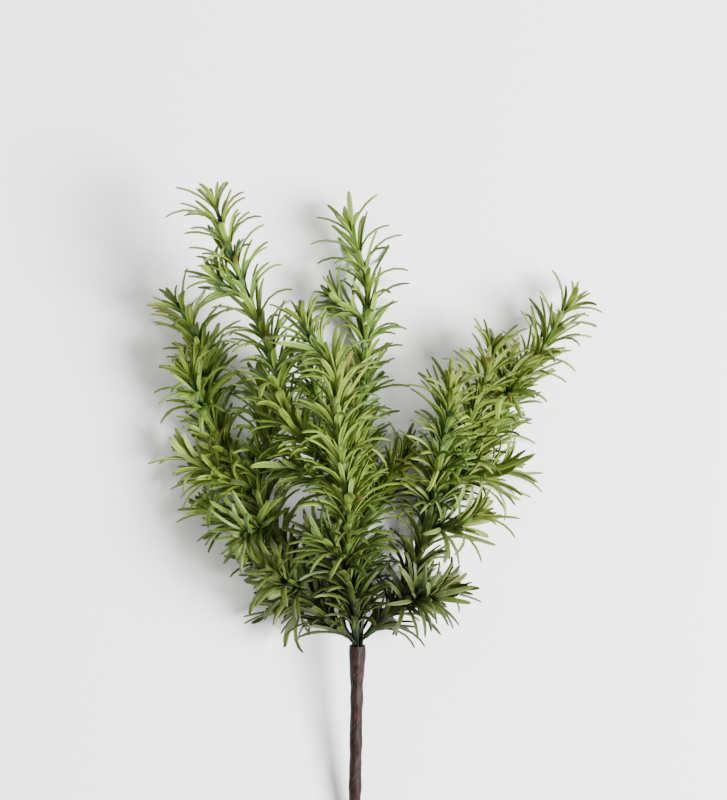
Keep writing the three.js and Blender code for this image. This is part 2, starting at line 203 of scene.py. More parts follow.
# A crown is where one upright needle past the end of the main stem ends. A shoot leaves its main stem at so
# many millimetres along it, and has no needles for so many. The last shoots of three branches are tufts.
BRANCHES = [
    {
        "node": "branch_left", "tail": 162, "bare": 20, "nub": False, "crown": None,
        "line": [
            (-12.8, 12.3, 25), (-22.3, 23.8, 22), (-29.8, 36.8, 19), (-46.3, 67.8, 14), (-55.8, 85.3, 12),
            (-66.8, 98.8, 11.5), (-75.3, 120.3, 12), (-77.3, 140.3, 14), (-83.8, 160.3, 17), (-91, 172, 19),
        ],
        "shoots": [
            (148, 9, [(-78, 122, 21), (-82, 131, 26), (-86, 141, 29)]),
            (106, 9, [(-60, 81, 18), (-71, 86, 20), (-79, 90, 19), (-86, 95, 18)]),
            (99, 11, [(-49, 86, 20), (-46, 100, 24), (-46, 117, 26), (-50, 133, 27)]),
            (86, 9, [(-52, 62, 15), (-65, 63, 14), (-74, 68, 14)]),
            (84, 7, [(-46, 60, 24), (-51, 58, 34), (-56, 56, 42)]),
            (62, 8, [(-39, 38, 22), (-47, 41, 25), (-53, 46, 27)]),
            (50, 8, [(-31, 29, 30), (-36, 33, 38), (-41, 38, 44)]),
            (44, 7, [(-26, 20, 19), (-32, 18, 16), (-38, 19, 14)]),
        ],
    },
    {
        "node": "branch_left_tall", "tail": 234, "bare": 32, "nub": True, "crown": None,
        "line": [
            (-3.2, 22.8, 28), (-3.8, 42.8, 33), (-3.2, 62.8, 37), (-5, 82, 41), (-19.8, 98.3, 44),
            (-31, 109, 46), (-37.8, 122, 48), (-41.3, 141.3, 50), (-48.8, 161.3, 52), (-56.3, 179.3, 54),
            (-62.8, 196.8, 56), (-72, 225, 59),
        ],
        "shoots": [
            (84, 8, [(-9, 76, 40), (-17, 83, 41), (-27, 88, 40), (-35, 90, 38)]),
            (203, 6, [(-60, 176, 54), (-66, 180, 55), (-70, 184, 56)]),
        ],
    },
    {
        "node": "branch_centre", "tail": 306, "bare": 28, "nub": True, "crown": (-4.5, 227.5, 25),
        "line": [
            (0.5, 22.8, 16), (0.5, 52, 12), (-0.5, 82, 11), (-1.3, 112.8, 11), (2.3, 131.8, 12),
            (4.3, 161.3, 13), (4.8, 182.8, 15), (0.3, 197.3, 18), (-4.8, 212, 21),
        ],
        "shoots": [
            (66, 8, [(7.3, 70, 15), (13.8, 80.3, 18), (20.3, 89.8, 20), (26, 100, 20)]),
            (108, 9, [(-7, 103, 18), (-14, 114, 24), (-20, 126, 28), (-23, 138, 31)]),
            (176, 6, [(-2, 167, 14), (-8, 171, 16), (-13, 175, 17)]),
        ],
    },
    {
        "node": "branch_front", "tail": 90, "bare": 25, "nub": False, "crown": None,
        "line": [
            (-1, 8, 30), (-1.8, 25.8, 40), (-6.8, 40.3, 49), (-4.8, 51.8, 54), (-5.3, 72.3, 60),
            (-8.3, 98.3, 65), (-10.3, 115.3, 67), (-9, 127, 68), (-12, 140, 69), (-22, 151, 70),
            (-26.5, 163, 71),
        ],
        "shoots": [(63, 7, [(-12, 49, 56), (-17, 53, 58), (-21.5, 58, 59)])],
    },
    {
        "node": "branch_right", "tail": 18, "bare": 23, "nub": False, "crown": (110, 175.5, 24),
        "line": [
            (10, 10.5, 24), (23.8, 26.3, 20), (31.8, 46.8, 17), (36.3, 62.8, 14), (48.8, 82.8, 12),
            (67.3, 110.3, 11.5), (81.8, 131.8, 13), (93.8, 149.3, 18), (102.3, 165.8, 20), (107, 172, 21),
        ],
        "shoots": [
            (86, 8, [(38, 74, 22), (40.5, 92, 31), (44.8, 113, 38), (46.3, 125, 42), (46, 132, 44)]),
            (109, 8, [(53, 100, 20), (58, 117, 25), (63.8, 131.8, 28), (67.5, 149, 31)]),
            (104, 8, [(55, 83, 13), (67, 85, 13), (77, 90, 14)]),
            (82, 8, [(42, 59, 22), (50, 60, 28), (60, 66, 31)]),
            (50, 7, [(32, 27, 17), (38, 26, 15), (44, 28, 14)]),
            (41, 6, [(25, 22.5, 30), (31, 24, 39), (38, 25.5, 46)]),
            (160, 5, [(75, 128, 18), (76, 136, 24), (76, 145, 28)]),
        ],
    },
]

# Painted shade: the green is darkest at the collar, still dark at the heart's reach from it and clear at the
# open one, standing in for the shade in the heart of the spray. Both reaches are in metres.
HEART_REACH = 0.04
OPEN_REACH = 0.112
HEART_PAINTED_SHADE = 0.32
NECK_PAINTED_SHADE = 0.3

# Colours as seen on a screen. Needles have dark roots, partly their own colour and partly painted
# shade where they crowd the stem, a main tone and a light one. The branches' greens differ partly in tint
# and partly as painted light and shade, the left branch's lighter. Stems and cups have a plain green, a
# warmer and a cooler one, and that of a cup's mouth; the stems' darker green is partly painted shade.
NEEDLE_GREENS = {
    "branch_left": [(28, 45, 10), (84, 113, 32), (134, 158, 62)],
    "branch_left_tall": [(26, 46, 10), (72, 100, 24), (120, 144, 50)],
    "branch_centre": [(20, 38, 8), (68, 98, 25), (120, 146, 56)],
    "branch_front": [(20, 38, 8), (68, 94, 24), (116, 138, 50)],
    "branch_right": [(20, 36, 8), (70, 94, 24), (124, 142, 58)],
}
# Paler needle edges: partly the needles' own colour, partly a painted highlight
NEEDLE_EDGE = (150, 168, 78)
YOUNG_TIP = (76, 74, 24)
BURNT_TIP = (88, 54, 20)
# The stems' dark greens are partly painted shade
CORE_GREENS = [(38, 60, 26), (54, 66, 22), (40, 72, 38), (38, 60, 26)]
CUP_GREENS = [(60, 90, 40), (80, 96, 32), (64, 104, 62), (104, 132, 66)]
DYE = (100, 120, 55)
WARM_DYE = (106, 114, 36)
COOL_DYE = (52, 90, 40)
NUB_DARK, NUB_TORN = (66, 70, 54), (112, 116, 92)
TAPE_DARK, TAPE_BROWN = (10, 6, 5), (50, 33, 29)
TAPE_RED, TAPE_DULL = (52, 24, 21), (62, 48, 42)
# Painted shade under each lap, and paler raised lap edges that are partly worn and partly a painted highlight
TAPE_LAP_SHADE, TAPE_RUBBED_AND_HIGHLIGHT = (8, 6, 6), (84, 70, 62)
WIRE_DARK, WIRE_LIGHT = (120, 122, 122), (178, 180, 180)
FLOOR_WHITE = (247, 247, 245)

# Patterns, by how many of their cells there are to a metre. A stretch below 1 draws one out along the stem.
DYE_PATCHES = 38
PLASTIC_GRAIN = 900
NUB_GRAIN = 1400
TAPE_STREAKS = 900
TAPE_PATCHES = 120
TAPE_FIBRES = 2600
WIRE_SCRATCHES = 3000
STREAK_STRETCH = (1.0, 0.06, 1.0)
SCRATCH_STRETCH = (1.0, 0.05, 1.0)

# How much each finish shines, and how deep its fine relief is
NEEDLE_SHEEN = 0.27
STEM_SHEEN = 0.1
TAPE_SHEEN = 0.12
FLOOR_SHEEN = 0.1
PLAIN_SHEEN = 0.5
NUB_ROUGHNESS = 0.75
FLOOR_ROUGHNESS = 0.9
MOULDED_RELIEF = 0.0002
TORN_RELIEF = 0.0003
NEEDLE_STREAKS = 22.0
NEEDLE_STREAK_DEPTH = 0.35

# The photograph's view: its middle and height on the spray, as laid out
VIEW_MIDDLE = (3, 122.75)
VIEW_HEIGHT = 400
VIEW_LEVEL = 25
VIEW_DISTANCE = 2000
SENSOR = 36
CLIP_END = 20

# The stage, in metres. A light has a name, a place, a size and a power.
FLOOR_SIZE = 8
STUDIO_GLOW = 0.6
LIGHT_AIM = (0, 0.04, 0)
LIGHTS = [("key", (1.8, -0.3, 1.8), 1.3, 330), ("fill", (-0.7, 0.5, 0.9), 0.9, 3)]


# Small helpers

def unit(vector):
    return vector / np.linalg.norm(vector)


def lerp(a, b, share):
    return a + (b - a) * share


def smoothstep(value, low, high):
    share = min(max((value - low) / (high - low), 0), 1)
    return share * share * (3 - 2 * share)


def draw(a, b, c, d):
    """A number from 0 to 1 that is always the same for the same keys."""
    swing = math.sin(a * 12.9898 + b * 78.233 + c * 37.719 + d * 9.1513) * 43758.5453
    return swing - math.floor(swing)


def placed(points):
    """Layout millimetres as metres in the part's frame."""
    return (np.asarray(points, float) - MIDDLE) * MM


def stations(low, high, step):
    """Distances from low to high, about a step apart."""
    return np.linspace(low, high, max(1, round((high - low) / step)) + 1)


def inside_box(spots):
    """True if a needle along these spots stays in the part's box. On the surface it may lie flat."""
    low, high = (np.array(corner) / MM + MIDDLE for corner in cad_box)
    return (spots[:, :2] > low[:2] + BOX_ROOM).all() and (spots < high - BOX_ROOM).all()


class Curve:
    """A smooth line through points, read by the distance along it. It runs straight on past its ends."""

    SAMPLES = 120
    LOOK = 0.1

    def __init__(self, points):
        points = [np.array(p, float) for p in points]
        ends = [2 * points[0] - points[1], *points, 2 * points[-1] - points[-2]]
        stretches = [self.stretch(*four) for four in zip(ends, ends[1:], ends[2:], ends[3:])]
        self.spots = np.vstack([*stretches, points[-1]])
        steps = np.linalg.norm(np.diff(self.spots, axis=0), axis=1)
        self.reach = np.concatenate([[0], np.cumsum(steps)])
        self.length = self.reach[-1]

    def stretch(self, before, start, end, after):
        """The spots from start to end, in a curve that leaves and arrives evenly between its neighbours."""
        gaps = [math.sqrt(np.linalg.norm(b - a)) for a, b in ((before, start), (start, end), (end, after))]
        leave = (start - before) / gaps[0] - (end - before) / (gaps[0] + gaps[1]) + (end - start) / gaps[1]
        arrive = (end - start) / gaps[1] - (after - start) / (gaps[1] + gaps[2]) + (after - end) / gaps[2]
        leave, arrive = leave * gaps[1], arrive * gaps[1]
        t = np.linspace(0, 1, self.SAMPLES, endpoint=False)[:, None]
        bend = 3 * (end - start) - 2 * leave - arrive
        turn = 2 * (start - end) + leave + arrive
        return start + leave * t + bend * t**2 + turn * t**3

    def at(self, distance):
        return np.array([np.interp(distance, self.reach, self.spots[:, i]) for i in range(3)])

    def frame(self, distance):
        """The spot at a distance, and the directions along the line, to its side and up from it."""
        inside = min(max(distance, 0), self.length)
        along = unit(self.at(min(inside + self.LOOK, self.length)) - self.at(max(inside - self.LOOK, 0)))
        side = unit(np.cross(along, UP))
        rise = unit(np.cross(side, along))
        return self.at(inside) + along * (distance - inside), along, side, rise


def outward(side, rise, angle):
    """The direction away from a line at an angle that starts from straight down."""
    return side * math.sin(angle) - rise * math.cos(angle)


def select_only(obj):
    bpy.ops.object.select_all(action="DESELECT")
    obj.select_set(True)
    bpy.context.view_layer.objects.active = obj


def finish_piece(obj, name, material, slot, *nodes):
    """Names a piece, gives it its finish, and says what it rides on and stands for."""
    obj.name = name
    obj.data.name = name
    obj.data.materials.clear()
    obj.data.materials.append(material)
    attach(obj, BODY)
    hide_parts(*nodes)


# Materials

def new_material(name, sheen=PLAIN_SHEEN):
    material = bpy.data.materials.new(name)
    material.use_nodes = True
    tree = material.node_tree
    shader = tree.nodes["Principled BSDF"]
    shader.inputs["Specular IOR Level"].default_value = sheen
    return material, tree, shader


def add(tree, kind, **values):
    """A node with its properties and its inputs by name or number. A value that is a socket is linked."""
    node = tree.nodes.new("ShaderNode" + kind)
    inputs = values.pop("inputs", {})
    for key, value in values.items():
        setattr(node, key, value)
    for key, value in inputs.items():
        if isinstance(value, bpy.types.NodeSocket):
            tree.links.new(value, node.inputs[key])
        else:
            node.inputs[key].default_value = value
    return node


def rgb(colour):
    """A colour as seen on a screen, 0 to 255, made linear."""
    def linear(value):
        value /= 255
        return value / 12.92 if value <= 0.04045 else ((value + 0.055) / 1.055) ** 2.4
    return (*map(linear, colour), 1)


def maths(tree, operation, a, b=0.0):
    return add(tree, "Math", operation=operation, inputs={0: a, 1: b}).outputs[0]


def mixed(tree, share, a, b, blend="MIX"):
    node = add(tree, "Mix", data_type="RGBA", blend_type=blend, inputs={0: share, 6: a, 7: b})
    return node.outputs[2]


def ramped(tree, value, low, high, to_low=0.0, to_high=1.0):
    inputs = {0: value, 1: low, 2: high, 3: to_low, 4: to_high}
    return add(tree, "MapRange", interpolation_type="SMOOTHSTEP", inputs=inputs).outputs[0]


def noise(tree, vector, scale, detail=3.0, roughness=0.5):
    inputs = {"Vector": vector, "Scale": scale, "Detail": detail, "Roughness": roughness}
    return add(tree, "TexNoise", inputs=inputs).outputs["Fac"]


def object_place(tree):
    return add(tree, "TexCoord").outputs["Object"]


def attribute_parts(tree, name):
    """An attribute's node, and the three parts of its colour."""
    node = add(tree, "Attribute", attribute_name=name)
    return node, add(tree, "SeparateColor", inputs={0: node.outputs["Color"]}).outputs


def stretched(tree, place, scale):
    return add(tree, "Mapping", inputs={"Vector": place, "Scale": scale}).outputs[0]


def surface(tree, shader, colour, roughness):
    tree.links.new(colour, shader.inputs["Base Color"])
    tree.links.new(roughness, shader.inputs["Roughness"])


def relief(tree, shader, height, strength, depth):
    bump = add(tree, "Bump", inputs={"Strength": strength, "Distance": depth, "Height": height})
    tree.links.new(bump.outputs[0], shader.inputs["Normal"])


def new_group(name, inputs, outputs):
    """A node group with sockets given as (name, kind, value)."""
    tree = bpy.data.node_groups.new(name, "ShaderNodeTree")
    for title, kind, value in inputs:
        socket = tree.interface.new_socket(title, in_out="INPUT", socket_type="NodeSocket" + kind)
        if value is not None:
            socket.default_value = value
    for title, kind in outputs:
        tree.interface.new_socket(title, in_out="OUTPUT", socket_type="NodeSocket" + kind)
    return tree, tree.nodes.new("NodeGroupInput").outputs, tree.nodes.new("NodeGroupOutput").inputs


def make_green_and_painted_shade_group():
    """Dyed soft plastic: patchy dye, a fine moulded grain, and painted shade near the collar."""
    tree, given, result = new_group(
        "moulded_green",
        [("Place", "Vector", None), ("Colour", "Color", rgb(DYE)), ("Warmth", "Color", rgb(WARM_DYE)),
         ("Coolness", "Color", rgb(COOL_DYE))],
        [("Colour", "Color"), ("Roughness", "Float"), ("Height", "Float")],
    )
    place = given["Place"]
    patch = noise(tree, place, DYE_PATCHES, 2)
    warm = ramped(tree, patch, 0.5, 0.68, 0, 0.45)
    cool = ramped(tree, patch, 0.5, 0.34, 0, 0.4)
    speck = noise(tree, place, PLASTIC_GRAIN, 3, 0.6)
    colour = mixed(tree, warm, given["Colour"], given["Warmth"])
    colour = mixed(tree, cool, colour, given["Coolness"])
    collar = tuple(placed(STEM_LINE[0]))
    reach = add(tree, "VectorMath", operation="DISTANCE", inputs={0: place, 1: collar}).outputs["Value"]
    shade = ramped(tree, speck, 0.3, 0.7, 0.86, 1.1)
    # Painted shade: darker in the heart of the spray and darkest at the collar, by the distance from it
    shade = maths(tree, "MULTIPLY", shade, ramped(tree, reach, HEART_REACH, OPEN_REACH, HEART_PAINTED_SHADE, 1))
    shade = maths(tree, "MULTIPLY", shade, ramped(tree, reach, 0, HEART_REACH, NECK_PAINTED_SHADE, 1))
    grey = add(tree, "CombineColor", inputs={0: shade, 1: shade, 2: shade}).outputs[0]
    tree.links.new(mixed(tree, 1.0, colour, grey, "MULTIPLY"), result["Colour"])
    tree.links.new(ramped(tree, speck, 0.3, 0.7, 0.42, 0.56), result["Roughness"])
    tree.links.new(speck, result["Height"])
    return tree


def needle_material(name, dark, main, light):
    """Needles: dark roots, partly painted shade; painted shade down the groove; paler edges, partly a painted
    highlight; a tone for each needle, and browned young tips.
    """
    material, tree, shader = new_material(name, NEEDLE_SHEEN)
    leaf, (along, across, tone) = attribute_parts(tree, "leaf")
    youth = leaf.outputs["Alpha"]
    body = mixed(tree, tone, main, light)
    # Darker towards the root: partly the needle's own colour, partly painted shade where needles crowd the
    # stem
    body = mixed(tree, ramped(tree, along, 0.05, 0.45, 0.85, 0), body, dark)
    # Paler edges: partly the needle's own colour, partly a painted highlight
    edge = maths(tree, "MULTIPLY", ramped(tree, across, 0.5, 0.9, 0, 0.6), ramped(tree, along, 0.1, 0.4))
    body = mixed(tree, edge, body, rgb(NEEDLE_EDGE))
    # Painted shade down the middle groove
    body = mixed(tree, ramped(tree, across, 0.2, 0.02, 0, 0.4), body, dark)
    body = mixed(tree, ramped(tree, along, 0.84, 1.0, 0, 0.55), body, dark)
    young = maths(tree, "MULTIPLY", youth, ramped(tree, along, 0.2, 0.9, 0, 0.8))
    body = mixed(tree, young, body, rgb(YOUNG_TIP))
    burnt = maths(tree, "MULTIPLY", ramped(tree, tone, 0.965, 0.985), ramped(tree, along, 0.25, 0.8, 0, 0.8))
    body = mixed(tree, burnt, body, rgb(BURNT_TIP))
    finish = add(tree, "Group", node_tree=green_and_painted_shade_group, inputs={"Place": object_place(tree), "Colour": body})
    surface(tree, shader, finish.outputs["Colour"], finish.outputs["Roughness"])
    wave = maths(tree, "SINE", maths(tree, "MULTIPLY", across, NEEDLE_STREAKS))
    streak = maths(tree, "MULTIPLY", wave, NEEDLE_STREAK_DEPTH)
    relief(tree, shader, maths(tree, "ADD", finish.outputs["Height"], streak), 0.25, MOULDED_RELIEF)
    return material


def stem_material(name, colour, warm, cool, mouth):
    """The stems and the cups on them: a bluer green, and for the cups a paler mouth."""
    material, tree, shader = new_material(name, STEM_SHEEN)
    _, (up_the_cup, _, _) = attribute_parts(tree, "leaf")
    body = mixed(tree, ramped(tree, up_the_cup, 0.1, 1.0), colour, mouth)
    finish = add(tree, "Group", node_tree=green_and_painted_shade_group, inputs={
        "Place": object_place(tree), "Colour": body, "Warmth": warm, "Coolness": cool})
    surface(tree, shader, finish.outputs["Colour"], finish.outputs["Roughness"])
    relief(tree, shader, finish.outputs["Height"], 0.3, MOULDED_RELIEF)
    return material


def nub_material():
    """The cut ends of the stems: grey-black, flecked with paler torn plastic."""
    material, tree, shader = new_material("stem_nub_plastic")
    grain = noise(tree, object_place(tree), NUB_GRAIN, 4, 0.7)
    colour = mixed(tree, ramped(tree, grain, 0.45, 0.7), rgb(NUB_DARK), rgb(NUB_TORN))
    tree.links.new(colour, shader.inputs["Base Color"])
    shader.inputs["Roughness"].default_value = NUB_ROUGHNESS
    relief(tree, shader, grain, 0.5, TORN_RELIEF)
    return material


def tape_material():
    """Brown paper tape: long streaks, crumpled fibres, painted shade in the step under each lap, and paler
    raised edges, partly worn and partly a painted highlight.
    """
    material, tree, shader = new_material("brown_paper_tape", TAPE_SHEEN)
    place = object_place(tree)
    _, (lap, _, _) = attribute_parts(tree, "tape")
    streaks = noise(tree, stretched(tree, place, STREAK_STRETCH), TAPE_STREAKS, 4, 0.6)
    patches = noise(tree, place, TAPE_PATCHES, 3, 0.6)
    fibres = noise(tree, place, TAPE_FIBRES, 4, 0.65)
    colour = mixed(tree, ramped(tree, streaks, 0.34, 0.72), rgb(TAPE_DARK), rgb(TAPE_BROWN))
    colour = mixed(tree, ramped(tree, patches, 0.5, 0.72, 0, 0.5), colour, rgb(TAPE_RED))
    colour = mixed(tree, ramped(tree, patches, 0.45, 0.3, 0, 0.3), colour, rgb(TAPE_DULL))
    # Painted shade in the step under each lap of tape
    colour = mixed(tree, ramped(tree, lap, 0.1, 0.0, 0, 0.8), colour, rgb(TAPE_LAP_SHADE))
    # Paler raised lap edges: partly worn paper, partly a painted highlight
    rubbed_and_highlight = maths(tree, "MULTIPLY", ramped(tree, lap, 0.95, 0.99, 0, 0.4), ramped(tree, fibres, 0.4, 0.6))
    colour = mixed(tree, rubbed_and_highlight, colour, rgb(TAPE_RUBBED_AND_HIGHLIGHT))
    surface(tree, shader, colour, ramped(tree, fibres, 0.3, 0.7, 0.42, 0.6))
    height = maths(tree, "ADD", maths(tree, "MULTIPLY", streaks, 1.5), fibres)
    relief(tree, shader, height, 0.35, TORN_RELIEF)
    return material


def wire_material():
    """Cut steel wire: drawn scratches and a little dulling."""
    material, tree, shader = new_material("cut_steel_wire")
    scratches = noise(tree, stretched(tree, object_place(tree), SCRATCH_STRETCH), WIRE_SCRATCHES, 3)
    colour = mixed(tree, scratches, rgb(WIRE_DARK), rgb(WIRE_LIGHT))
    surface(tree, shader, colour, ramped(tree, scratches, 0.3, 0.7, 0.3, 0.5))
    shader.inputs["Metallic"].default_value = 1.0
    return material


# The wrapped stem

def wrap_radius(distance, angle):
    """The wrap swells to its collar, is a little lumpy, and steps down at each turn of the tape."""
    width = lerp(COLLAR_RADIUS, WRAP_RADIUS, smoothstep(distance, COLLAR_STRAIGHT, COLLAR_TAPER))
    lump = LUMP * math.sin(distance * LUMP_WAVES[0]) * math.sin(distance * LUMP_WAVES[1] + 1)
    lap = (distance / TAPE_PITCH + angle / (2 * math.pi)) % 1
    wander = 2 * math.sin(distance * CREASE_WANDER)
    crease = CREASE * math.sin(CREASE_SIDES[0] * angle + distance * CREASE_WAVES[0] + wander)
    crease += CREASE * math.sin(CREASE_SIDES[1] * angle - distance * CREASE_WAVES[1])
    return width + lump + crease + TAPE_STEP * (lap - 1), lap


def model_wrap(material):
    """A grid rolled into the tube of tape, folded in at the collar and at the cut end."""
    curve = Curve(STEM_LINE)
    rows = list(COLLAR_FOLD)
    rows += [(distance, 1) for distance in stations(0, curve.length, WRAP_STEP)]
    rows += [(curve.length + inward, share) for inward, share in CUT_FOLD]
    bpy.ops.object.select_all(action="DESELECT")
    bpy.ops.mesh.primitive_grid_add(x_subdivisions=WRAP_SIDES, y_subdivisions=len(rows) - 1, size=1)
    wrap = bpy.context.object
    places, laps = [], []
    for distance, share in rows:
        centre, _, side, rise = curve.frame(distance)
        for column in range(WRAP_SIDES + 1):
            angle = column % WRAP_SIDES / WRAP_SIDES * 2 * math.pi
            radius, lap = wrap_radius(distance, angle)
            spot = centre + outward(side, rise, angle) * radius * share
            spot[2] = max(spot[2], 0)
            places.append(spot)
            laps.append(lap if share == 1 else 0.5)
    mesh = wrap.data
    mesh.vertices.foreach_set("co", placed(places).ravel())
    tape = mesh.attributes.new("tape", "FLOAT_COLOR", "POINT")
    tape.data.foreach_set("color", np.array([(lap, lap, lap, 1) for lap in laps], np.float32).ravel())
    bpy.ops.object.mode_set(mode="EDIT")
    bpy.ops.mesh.select_all(action="SELECT")
    bpy.ops.mesh.remove_doubles(threshold=1e-6)
    bpy.ops.mesh.fill_holes(sides=0)
    bpy.ops.mesh.select_all(action="SELECT")
    bpy.ops.mesh.normals_make_consistent(inside=False)
    bpy.ops.object.mode_set(mode="OBJECT")
    bpy.ops.object.shade_smooth_by_angle(angle=math.radians(WRAP_SMOOTH))
    finish_piece(wrap, "paper_tape_wrap", material, "stem_tape", "stem_wrap")


def tube(spots, radii, resolution):
    """A closed tube, made from a bevelled curve."""
    line = bpy.data.curves.new("tube", "CURVE")
    line.dimensions = "3D"
    line.bevel_depth = 1
    line.bevel_resolution = resolution
    line.use_fill_caps = True
    spline = line.splines.new("POLY")
    spline.points.add(len(spots) - 1)
    for spline_point, spot, radius in zip(spline.points, placed(spots), radii):
        spline_point.co = (*spot, 1)
        spline_point.radius = radius * MM
    obj = bpy.data.objects.new("tube", line)
    bpy.context.collection.objects.link(obj)
    select_only(obj)
    bpy.ops.object.convert(target="MESH")
    return bpy.context.object


def joined(pieces):
    """One object of many tubes."""
    bpy.ops.object.select_all(action="DESELECT")
    for piece in pieces:
        piece.select_set(True)
    bpy.context.view_layer.objects.active = pieces[0]
    if len(pieces) > 1:
        bpy.ops.object.join()
    bpy.ops.object.shade_smooth_by_angle(angle=math.radians(STEM_SMOOTH))
    return bpy.context.object


def model_wire(material):
    """The wire inside the wrap, a little proud of its cut end and with a softened edge there."""
    curve = Curve(STEM_LINE)
    distances = stations(WIRE_TOP, curve.length + WIRE_PROUD, WIRE_STEP)
    spots = [curve.frame(distance)[0] for distance in distances]
    radii = [WIRE_RADIUS] * len(spots)
    spots.append(curve.frame(curve.length + WIRE_PROUD + WIRE_EDGE_LENGTH)[0])
    radii.append(WIRE_RADIUS * WIRE_EDGE_SHARE)
    wire = joined([tube(spots, radii, WIRE_DETAIL)])
    finish_piece(wire, "stem_wire", material, "steel_wire", "core_wire")


# The branches

def stems_of(branch):
    """The main stem and the shoots of a branch, each as (curve, bare length, radius by distance)."""
    centre, along, side, rise = Curve(STEM_LINE).frame(0)
    angle = math.radians(branch["tail"])
    mouth = centre - side * TAIL_RING * math.cos(angle) + rise * TAIL_RING * math.sin(angle)
    main = Curve([mouth + along * TAIL_DEPTH, mouth, mouth - along * TAIL_STRAIGHT, *branch["line"]])
    root = TAIL_DEPTH + TAIL_STRAIGHT

    def main_radius(distance):
        thick = lerp(TAIL_RADIUS, BRANCH_RADIUS, smoothstep(distance, root, root + THICKENING))
        taper = smoothstep(distance, main.length - TIP_TAPER, main.length)
        return thick - (BRANCH_RADIUS - TIP_RADIUS) * taper

    stems = [(main, branch["bare"], main_radius)]
    for at, bare, line in branch["shoots"]:
        curve = Curve([main.frame(at)[0], *line])

        def shoot_radius(distance, length=curve.length):
            return lerp(SHOOT_RADIUS, TIP_RADIUS, smoothstep(distance, 0, length))

        stems.append((curve, bare, shoot_radius))
    return stems


def extruded(section, rings, close_tip):
    """A closed shape up Z by extruding a section from ring to ring, as (vertices, faces)."""
    bpy.ops.object.select_all(action="DESELECT")
    bpy.ops.mesh.primitive_circle_add(vertices=len(section), radius=1, fill_type="NGON")
    obj = bpy.context.object
    for vertex, (x, y) in zip(obj.data.vertices, section):
        vertex.co = (x * rings[0][1], y * rings[0][2], rings[0][0])
    bpy.ops.object.mode_set(mode="EDIT")
    bpy.ops.mesh.select_all(action="SELECT")
    for (low, wide, deep), (high, next_wide, next_deep) in zip(rings, rings[1:]):
        bpy.ops.mesh.extrude_region_move(TRANSFORM_OT_translate={"value": (0, 0, high - low)})
        size = (next_wide / wide, next_deep / deep, 1)
        bpy.ops.transform.resize(value=size, center_override=(0, 0, high))
    if close_tip:
        bpy.ops.mesh.extrude_region_move(TRANSFORM_OT_translate={"value": (0, 0, 1 - rings[-1][0])})
        bpy.ops.mesh.merge(type="CENTER")
    bpy.ops.mesh.select_all(action="SELECT")
    bpy.ops.mesh.normals_make_consistent(inside=False)
    bpy.ops.object.mode_set(mode="OBJECT")
    vertices = np.array([vertex.co[:] for vertex in obj.data.vertices])
    faces = [tuple(face.vertices) for face in obj.data.polygons]
    bpy.data.meshes.remove(obj.data)
    return vertices, faces


class Foliage:
    """Copies of a modelled shape, bent to their places and gathered in one mesh."""

    def __init__(self):
        self.places, self.faces, self.leaf, self.count = [], [], [], 0

    def put(self, places, faces, leaf):
        self.places.append(places)
        self.leaf.append(leaf)
        self.faces += [tuple(i + self.count for i in face) for face in faces]
        self.count += len(places)

    def make(self, smooth_degrees):
        places = np.vstack(self.places)
        places[:, 2] = np.maximum(places[:, 2], 0)
        mesh = bpy.data.meshes.new("foliage")
        mesh.from_pydata(placed(places).tolist(), [], self.faces)
        leaf = mesh.attributes.new("leaf", "FLOAT_COLOR", "POINT")
        leaf.data.foreach_set("color", np.vstack(self.leaf).astype(np.float32).ravel())
        obj = bpy.data.objects.new("foliage", mesh)
        bpy.context.collection.objects.link(obj)
        select_only(obj)
        bpy.ops.object.shade_smooth_by_angle(angle=math.radians(smooth_degrees))
        return obj


def needle_line(there, radius, angle, length, start_angle, opening, sway):
    """A needle's middle line: up its cup, out in a curve, and along the surface where it would go below."""
    centre, along, side, rise = there
    out = outward(side, rise, angle)
    across = np.cross(along, out)
    forward = unit((along + out) * (1, 1, 0))
    start = centre + out * radius - along * WHORL_BAND / 4
    lean = math.radians(ROOT_ANGLE)
    spots = [start - (along * math.cos(lean) + out * math.sin(lean)) * ROOT_LENGTH, start]
    for i in range(NEEDLE_PIECES):
        share = (i + 0.5) / NEEDLE_PIECES
        lean = math.radians(lerp(start_angle, opening, share))
        swing = across * math.sin(math.radians(sway)) * share
        heading = along * math.cos(lean) + out * math.sin(lean) - swing
        spot = spots[-1] + unit(heading) * length / NEEDLE_PIECES
        if spot[2] < LYING_HEIGHT:
            spot = spots[-1] + forward * length / NEEDLE_PIECES
            spot[2] = 0
        spots.append(spot)
    if spots[-1][2] == 0:
        for i, spot in enumerate(spots[1:]):
            spot[2] = min(spot[2], spots[1][2] * max(0, 1 - i / LYING_FROM))
    return np.array(spots), across


def bend_needle(line, across, width, roll):
    """The modelled needle's vertices, laid along a line with its ridge to the stem."""
    vertices, _ = needle_shape
    steps = np.linalg.norm(np.diff(line, axis=0), axis=1)
    reach = np.concatenate([[0], np.cumsum(steps)])
    reach /= reach[-1]

    def spot_at(share):
        share = min(max(share, 0), 1)
        return np.array([np.interp(share, reach, line[:, i]) for i in range(3)])

    places = np.empty_like(vertices)
    for height in needle_levels:
        ring = vertices[:, 2] == height
        heading = unit(spot_at(height + HEADING_LOOK) - spot_at(height - HEADING_LOOK))
        turned = across * math.cos(roll * height) + np.cross(heading, across) * math.sin(roll * height)
        wide = unit(turned - heading * (turned @ heading))
        ridge = np.cross(heading, wide)
        flat = vertices[ring]
        places[ring] = spot_at(height) + wide * flat[:, :1] * width / 2
        places[ring] += ridge * flat[:, 1:2] * NEEDLE_THICKNESS
        places[ring, 2] += max(0, -places[ring, 2].min())
    return places


